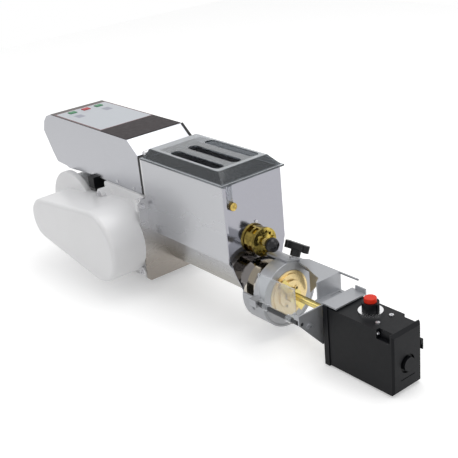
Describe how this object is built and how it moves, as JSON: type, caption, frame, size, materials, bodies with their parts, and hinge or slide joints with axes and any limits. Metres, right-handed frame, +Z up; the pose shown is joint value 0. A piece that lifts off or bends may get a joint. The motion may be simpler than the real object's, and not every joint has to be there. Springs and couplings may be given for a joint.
{
  "type": "pasta extruder machine",
  "caption": "Table-top pasta extruder with hinged clear lid over a steel trough, belt-driven feed screw, ring nut with die, and a clamped motor cutter in front.",
  "frame": {"origin": "on the table, under the feed screw's axis, at the middle of the front foot bar's underside, 66 mm behind the bulkhead's front face", "axes": "+X along the feed screw towards the die and the cutter, +Y to the side away from the belt cover, +Z up"},
  "size_m": [0.916, 0.25, 0.2924],
  "materials": {
    "white_paint": "satin",
    "white_cover": "gloss",
    "stainless": "fine satin",
    "polished_steel": "mirror",
    "machined_steel": "machined",
    "nut_steel": "matt turned",
    "core_steel": "laminated",
    "cast_base": "painted",
    "brass": "turned",
    "bronze": "turned",
    "rubber": "matt",
    "black_plastic": "satin",
    "gloss_black": "gloss",
    "red_plastic": "gloss",
    "green_plastic": "gloss",
    "clear_plastic": "clear",
    "light_film": "matt",
    "dark_film": "matt",
    "board": "board",
    "silver_dial": "brushed",
    "white_nylon": "matt"
  },
  "bodies": {
    "machine": {"base_plate": "cast_base", "rubber_feet": "rubber", "screws_and_pin": "machined_steel", "gearbox_housing": "cast_base", "bulkhead": "polished_steel", "shaft_bearings": "machined_steel", "seals": "rubber", "drive_belt": "rubber", "motor_shield": "cast_base", "motor_housing": "cast_base", "motor_stator": "core_steel", "motor_cowl": "white_paint", "terminal_box": "black_plastic", "belt_cover": "white_cover", "belt_backplate": "white_paint", "trough": "stainless", "front_plate": "polished_steel", "front_bearing": "brass", "barrel_head": "polished_steel", "die": "bronze", "control_box": "stainless", "box_floor": "stainless", "box_gasket": "rubber", "keypad_overlay": "light_film", "display_strip": "dark_film", "control_board": "board", "power_inlet": "black_plastic"},
    "motor": {"motor_rotor": "core_steel", "motor_pulley": "silver_dial", "motor_fan": "black_plastic"},
    "worm": {"worm_shaft": "machined_steel", "worm_pulley": "silver_dial"},
    "screw": {"feed_screw": "stainless", "screw_gear": "machined_steel", "worm_wheel": "bronze"},
    "idler": {"idler_gear": "machined_steel"},
    "paddles": {"paddle_shaft": "stainless", "paddle_gear": "machined_steel"},
    "release": {"release_plunger": "machined_steel", "ball_knob": "gloss_black"},
    "nut": {"ring_nut": "nut_steel"},
    "lid": {"lid": "clear_plastic"},
    "thumb": {"thumb_knob": "brass"},
    "start": {"start_button": "green_plastic"},
    "stop": {"stop_button": "red_plastic"},
    "mix": {"mix_button": "green_plastic"},
    "bracket": {"cutter_bracket": "stainless", "guard_rail": "black_plastic"},
    "clamp": {"clamp_knob": "black_plastic"},
    "guard": {"guard": "clear_plastic"},
    "cutter": {"cutter_housing": "black_plastic", "cutter_end_cap": "black_plastic", "knife_bearing": "bronze", "gearmotor": "machined_steel", "potentiometer": "silver_dial", "dial_plate": "silver_dial", "cutter_screws": "machined_steel"},
    "speed": {"speed_knob": "black_plastic", "knob_cap": "red_plastic"},
    "knife": {"knife": "brass"}
  },
  "joints": [
    {"name": "motor_spin", "type": "hinge", "parent": "machine", "child": "motor", "pos_m": [-0.191, 0, 0.108], "axis": [0, -1, 0], "continuous": true},
    {"name": "worm_spin", "type": "hinge", "parent": "machine", "child": "worm", "pos_m": [0.002, 0, 0.105], "axis": [0, -1, 0], "continuous": true},
    {"name": "screw_spin", "type": "hinge", "parent": "machine", "child": "screw", "pos_m": [0.066, 0, 0.075], "axis": [-1, 0, 0], "continuous": true},
    {"name": "idler_spin", "type": "hinge", "parent": "machine", "child": "idler", "pos_m": [0.042, 0, 0.1135], "axis": [-1, 0, 0], "continuous": true},
    {"name": "paddle_spin", "type": "hinge", "parent": "machine", "child": "paddles", "pos_m": [0.066, 0, 0.152], "axis": [-1, 0, 0], "continuous": true},
    {"name": "release_pull", "type": "slide", "parent": "machine", "child": "release", "axis": [1, 0, 0], "range_m": [0, 0.008], "stiffness_N_per_m": 600, "springref_m": -0.002},
    {"name": "nut_turn", "type": "hinge", "parent": "machine", "child": "nut", "pos_m": [0.351, 0, 0.075], "axis": [1, 0, 0], "range_deg": [0, 360]},
    {"name": "lid_hinge", "type": "hinge", "parent": "machine", "child": "lid", "pos_m": [0.0645, 0, 0.2705], "axis": [0, -1, 0], "range_deg": [0, 100]},
    {"name": "thumb_turn", "type": "hinge", "parent": "lid", "child": "thumb", "pos_m": [0.304, -0.053, 0.23], "axis": [1, 0, 0], "range_deg": [0, 360]},
    {"name": "start_press", "type": "slide", "parent": "machine", "child": "start", "axis": [0, 0, -1], "range_m": [0, 0.001], "stiffness_N_per_m": 400, "springref_m": -0.0005},
    {"name": "stop_press", "type": "slide", "parent": "machine", "child": "stop", "axis": [0, 0, -1], "range_m": [0, 0.001], "stiffness_N_per_m": 400, "springref_m": -0.0005},
    {"name": "mix_press", "type": "slide", "parent": "machine", "child": "mix", "axis": [0, 0, -1], "range_m": [0, 0.001], "stiffness_N_per_m": 400, "springref_m": -0.0005},
    {"name": "bracket_slide", "type": "slide", "parent": "machine", "child": "bracket", "axis": [1, 0, 0], "range_m": [0, 0.05]},
    {"name": "clamp_turn", "type": "hinge", "parent": "bracket", "child": "clamp", "pos_m": [0.358, 0, 0.075], "axis": [0, 0.3746, 0.9272], "range_deg": [-60, 0]},
    {"name": "guard_hinge", "type": "hinge", "parent": "bracket", "child": "guard", "pos_m": [0.411, -0.066, 0.0825], "axis": [1, 0, 0], "range_deg": [0, 100]},
    {"name": "cutter_slide", "type": "slide", "parent": "bracket", "child": "cutter", "axis": [1, 0, 0], "range_m": [0, 0.008]},
    {"name": "speed_turn", "type": "hinge", "parent": "cutter", "child": "speed", "pos_m": [0.5403, 0.0035, 0.11], "axis": [0, 0, 1], "range_deg": [-140, 140]},
    {"name": "knife_spin", "type": "hinge", "parent": "cutter", "child": "knife", "pos_m": [0.416, 0, 0.075], "axis": [1, 0, 0], "continuous": true}
  ],
  "couplings": [
    {"joint": "worm_spin", "follows": "motor_spin", "ratio": 0.48},
    {"joint": "screw_spin", "follows": "motor_spin", "ratio": 0.024},
    {"joint": "idler_spin", "follows": "motor_spin", "ratio": -0.042},
    {"joint": "paddle_spin", "follows": "motor_spin", "ratio": 0.024}
  ]
}
